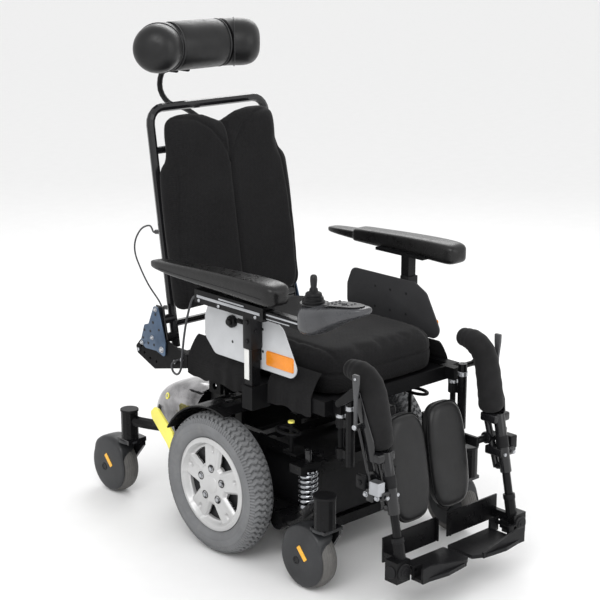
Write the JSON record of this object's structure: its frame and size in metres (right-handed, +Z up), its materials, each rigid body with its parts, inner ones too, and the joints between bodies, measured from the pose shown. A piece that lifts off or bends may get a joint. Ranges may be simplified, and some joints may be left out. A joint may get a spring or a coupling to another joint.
{
  "type": "power wheelchair",
  "caption": "Mid-wheel-drive power wheelchair with reclining back, bolster headrest, swing-away elevating leg rests, flip-up footplates and an arm-mounted joystick.",
  "frame": {"origin": "on the floor, on the chair's middle plane, half way between its foremost and rearmost points", "axes": "+Z up; the chair faces -Y; -X is the occupant's right side, where the joystick is"},
  "size_m": [0.6869, 1.177, 1.254],
  "materials": {
    "black_paint": "satin black powder coat",
    "black_plastic": "fine-grained black moulding",
    "pod_grey": "dark grey moulding, satin",
    "lead_grey": "dark grey PVC jacket",
    "silver_shell": "silver lacquered moulding",
    "chrome": "bright plated steel",
    "black_fabric": "matt black woven stretch cover",
    "black_leatherette": "smooth black leatherette",
    "silver_rim": "silver painted casting",
    "grey_tyre": "matt non-marking grey",
    "caster_rubber": "matt warm grey",
    "yellow_plastic": "yellow dipped lever",
    "grey_plastic": "mid grey moulding"
  },
  "bodies": {
    "base": {"chassis_frame": "black_paint", "battery_box": "pod_grey", "rear_shroud": "silver_shell", "control_module": "black_plastic", "motor_right": "black_paint", "motor_left": "black_paint", "shock_spring_right": "chrome", "shock_spring_left": "chrome"},
    "seat": {"seat_frame": "black_paint", "seat_cushion": "black_fabric"},
    "tilt_actuator": {"tilt_actuator_body": "black_plastic"},
    "tilt_ram": {"tilt_actuator_ram": "chrome"},
    "back": {"back_frame": "black_paint", "back_cushion": "black_fabric", "recline_cable": "lead_grey"},
    "head_stem": {"headrest_stem": "black_paint"},
    "head_pad": {"headrest_pad": "black_leatherette"},
    "wing_right": {"headrest_wing_right": "black_leatherette"},
    "wing_left": {"headrest_wing_left": "black_leatherette"},
    "arm_right": {"arm_post_right": "black_paint", "arm_pad_right": "black_leatherette", "side_panel_right": "grey_plastic", "joystick_lead": "lead_grey"},
    "arm_left": {"arm_post_left": "black_paint", "arm_pad_left": "black_leatherette", "side_panel_left": "grey_plastic"},
    "joystick": {"joystick_pod": "pod_grey"},
    "gimbal": {"joystick_gimbal": "black_plastic"},
    "stick": {"joystick_stick": "pod_grey"},
    "power_button": {"power_button": "black_plastic"},
    "wheel_right": {"rim_right": "silver_rim", "tyre_right": "grey_tyre"},
    "suspension_right": {"front_arm_right": "black_paint"},
    "front_fork_right": {"caster_fork_front_right": "black_paint"},
    "rear_fork_right": {"caster_fork_rear_right": "black_paint"},
    "front_caster_right": {"caster_wheel_front_right": "caster_rubber"},
    "rear_caster_right": {"caster_wheel_rear_right": "caster_rubber"},
    "freewheel_right": {"freewheel_lever_right": "yellow_plastic"},
    "hanger_right": {"leg_hanger_right": "black_paint"},
    "leg_right": {"leg_frame_right": "black_paint", "knee_pad_right": "black_fabric"},
    "calf_right": {"calf_pad_right": "black_leatherette"},
    "foot_right": {"foot_tube_right": "black_paint"},
    "plate_right": {"footplate_right": "black_paint"},
    "release_right": {"release_lever_right": "grey_plastic"},
    "wheel_left": {"rim_left": "silver_rim", "tyre_left": "grey_tyre"},
    "suspension_left": {"front_arm_left": "black_paint"},
    "front_fork_left": {"caster_fork_front_left": "black_paint"},
    "rear_fork_left": {"caster_fork_rear_left": "black_paint"},
    "front_caster_left": {"caster_wheel_front_left": "caster_rubber"},
    "rear_caster_left": {"caster_wheel_rear_left": "caster_rubber"},
    "freewheel_left": {"freewheel_lever_left": "yellow_plastic"},
    "hanger_left": {"leg_hanger_left": "black_paint"},
    "leg_left": {"leg_frame_left": "black_paint", "knee_pad_left": "black_fabric"},
    "calf_left": {"calf_pad_left": "black_leatherette"},
    "foot_left": {"foot_tube_left": "black_paint"},
    "plate_left": {"footplate_left": "black_paint"},
    "release_left": {"release_lever_left": "grey_plastic"}
  },
  "joints": [
    {"name": "seat_tilt", "type": "hinge", "parent": "base", "child": "seat", "pos_m": [0, 0.1365, 0.375], "axis": [-1, 0, 0], "range_deg": [0, 20]},
    {"name": "actuator_pivot", "type": "hinge", "parent": "base", "child": "tilt_actuator", "pos_m": [0, -0.0235, 0.306], "axis": [-1, 0, 0], "range_deg": [0, 26]},
    {"name": "actuator_ram", "type": "slide", "parent": "tilt_actuator", "child": "tilt_ram", "axis": [0, -0.7931, 0.6091], "range_m": [0, 0.06]},
    {"name": "back_recline", "type": "hinge", "parent": "seat", "child": "back", "pos_m": [0, 0.2785, 0.45], "axis": [-1, 0, 0], "range_deg": [0, 40]},
    {"name": "headrest_height", "type": "slide", "parent": "back", "child": "head_stem", "axis": [0, 0.1495, 0.9888], "range_m": [0, 0.06]},
    {"name": "headrest_tilt", "type": "hinge", "parent": "head_stem", "child": "head_pad", "pos_m": [0, 0.5025, 1.136], "axis": [1, 0, 0], "range_deg": [-20, 20]},
    {"name": "headrest_wing_right_hinge", "type": "hinge", "parent": "head_pad", "child": "wing_right", "pos_m": [-0.0855, 0.4825, 1.192], "axis": [0, 0, -1], "range_deg": [0, 25]},
    {"name": "headrest_wing_left_hinge", "type": "hinge", "parent": "head_pad", "child": "wing_left", "pos_m": [0.0855, 0.4825, 1.192], "axis": [0, 0, 1], "range_deg": [0, 25]},
    {"name": "arm_height_right", "type": "slide", "parent": "seat", "child": "arm_right", "axis": [0, 0, 1], "range_m": [0, 0.07]},
    {"name": "arm_height_left", "type": "slide", "parent": "seat", "child": "arm_left", "axis": [0, 0, 1], "range_m": [0, 0.07]},
    {"name": "joystick_reach", "type": "slide", "parent": "arm_right", "child": "joystick", "axis": [0, -1, 0], "range_m": [0, 0.06]},
    {"name": "stick_fore_aft", "type": "hinge", "parent": "joystick", "child": "gimbal", "pos_m": [-0.302, -0.3555, 0.682], "axis": [1, 0, 0], "range_deg": [-18, 18], "stiffness_Nm_per_rad": 0.05},
    {"name": "stick_left_right", "type": "hinge", "parent": "gimbal", "child": "stick", "pos_m": [-0.302, -0.3555, 0.682], "axis": [0, 1, 0], "range_deg": [-18, 18], "stiffness_Nm_per_rad": 0.05},
    {"name": "power_button_press", "type": "slide", "parent": "joystick", "child": "power_button", "axis": [0, 0, -1], "range_m": [0, 0.002], "stiffness_N_per_m": 600, "springref_m": -0.002},
    {"name": "drive_wheel_right", "type": "hinge", "parent": "base", "child": "wheel_right", "pos_m": [-0.305, 0.0165, 0.178], "axis": [1, 0, 0], "continuous": true},
    {"name": "suspension_right_arm", "type": "hinge", "parent": "base", "child": "suspension_right", "pos_m": [-0.2, -0.1435, 0.112], "axis": [-1, 0, 0], "range_deg": [0, 5], "stiffness_Nm_per_rad": 420, "springref_deg": -11.46, "deforming": ["shock_spring_right"]},
    {"name": "front_swivel_right", "type": "hinge", "parent": "suspension_right", "child": "front_fork_right", "pos_m": [-0.245, -0.3335, 0.2], "axis": [0, 0, 1], "continuous": true},
    {"name": "front_roll_right", "type": "hinge", "parent": "front_fork_right", "child": "front_caster_right", "pos_m": [-0.245, -0.2845, 0.076], "axis": [1, 0, 0], "continuous": true},
    {"name": "rear_swivel_right", "type": "hinge", "parent": "base", "child": "rear_fork_right", "pos_m": [-0.22, 0.4475, 0.2], "axis": [0, 0, 1], "continuous": true},
    {"name": "rear_roll_right", "type": "hinge", "parent": "rear_fork_right", "child": "rear_caster_right", "pos_m": [-0.22, 0.5125, 0.076], "axis": [1, 0, 0], "continuous": true},
    {"name": "freewheel_right_hinge", "type": "hinge", "parent": "base", "child": "freewheel_right", "pos_m": [-0.238, 0.2285, 0.182], "axis": [-1, 0, 0], "range_deg": [0, 30]},
    {"name": "hanger_swing_right", "type": "hinge", "parent": "seat", "child": "hanger_right", "pos_m": [-0.19, -0.3285, 0.37], "axis": [0, 0, -1], "range_deg": [0, 90]},
    {"name": "leg_elevate_right", "type": "hinge", "parent": "hanger_right", "child": "leg_right", "pos_m": [-0.22, -0.4085, 0.5], "axis": [-1, 0, 0], "range_deg": [0, 45]},
    {"name": "foot_length_right", "type": "slide", "parent": "leg_right", "child": "foot_right", "axis": [0, 0.2011, 0.9796], "range_m": [0, 0.05]},
    {"name": "footplate_flip_right", "type": "hinge", "parent": "foot_right", "child": "plate_right", "pos_m": [-0.172, -0.5235, 0.108], "axis": [0, -1, 0], "range_deg": [0, 90]},
    {"name": "calf_pad_right_tilt", "type": "hinge", "parent": "leg_right", "child": "calf_right", "pos_m": [-0.192, -0.4455, 0.306], "axis": [1, 0, 0], "range_deg": [-8, 8]},
    {"name": "release_lever_right_pull", "type": "hinge", "parent": "leg_right", "child": "release_right", "pos_m": [-0.238, -0.4245, 0.428], "axis": [1, 0, 0], "range_deg": [0, 20], "stiffness_Nm_per_rad": 0.3, "springref_deg": -8.59},
    {"name": "drive_wheel_left", "type": "hinge", "parent": "base", "child": "wheel_left", "pos_m": [0.305, 0.0165, 0.178], "axis": [1, 0, 0], "continuous": true},
    {"name": "suspension_left_arm", "type": "hinge", "parent": "base", "child": "suspension_left", "pos_m": [0.2, -0.1435, 0.112], "axis": [-1, 0, 0], "range_deg": [0, 5], "stiffness_Nm_per_rad": 420, "springref_deg": -11.46, "deforming": ["shock_spring_left"]},
    {"name": "front_swivel_left", "type": "hinge", "parent": "suspension_left", "child": "front_fork_left", "pos_m": [0.245, -0.3335, 0.2], "axis": [0, 0, 1], "continuous": true},
    {"name": "front_roll_left", "type": "hinge", "parent": "front_fork_left", "child": "front_caster_left", "pos_m": [0.245, -0.2845, 0.076], "axis": [1, 0, 0], "continuous": true},
    {"name": "rear_swivel_left", "type": "hinge", "parent": "base", "child": "rear_fork_left", "pos_m": [0.22, 0.4475, 0.2], "axis": [0, 0, 1], "continuous": true},
    {"name": "rear_roll_left", "type": "hinge", "parent": "rear_fork_left", "child": "rear_caster_left", "pos_m": [0.22, 0.5125, 0.076], "axis": [1, 0, 0], "continuous": true},
    {"name": "freewheel_left_hinge", "type": "hinge", "parent": "base", "child": "freewheel_left", "pos_m": [0.238, 0.2285, 0.182], "axis": [-1, 0, 0], "range_deg": [0, 30]},
    {"name": "hanger_swing_left", "type": "hinge", "parent": "seat", "child": "hanger_left", "pos_m": [0.19, -0.3285, 0.37], "axis": [0, 0, 1], "range_deg": [0, 90]},
    {"name": "leg_elevate_left", "type": "hinge", "parent": "hanger_left", "child": "leg_left", "pos_m": [0.22, -0.4085, 0.5], "axis": [-1, 0, 0], "range_deg": [0, 45]},
    {"name": "foot_length_left", "type": "slide", "parent": "leg_left", "child": "foot_left", "axis": [0, 0.2011, 0.9796], "range_m": [0, 0.05]},
    {"name": "footplate_flip_left", "type": "hinge", "parent": "foot_left", "child": "plate_left", "pos_m": [0.172, -0.5235, 0.108], "axis": [0, 1, 0], "range_deg": [0, 90]},
    {"name": "calf_pad_left_tilt", "type": "hinge", "parent": "leg_left", "child": "calf_left", "pos_m": [0.192, -0.4455, 0.306], "axis": [1, 0, 0], "range_deg": [-8, 8]},
    {"name": "release_lever_left_pull", "type": "hinge", "parent": "leg_left", "child": "release_left", "pos_m": [0.238, -0.4245, 0.428], "axis": [1, 0, 0], "range_deg": [0, 20], "stiffness_Nm_per_rad": 0.3, "springref_deg": -8.59}
  ],
  "couplings": [
    {"joint": "actuator_pivot", "follows": "seat_tilt", "ratio": 1.265},
    {"joint": "actuator_ram", "follows": "seat_tilt", "m_per_rad": 0.1664}
  ]
}
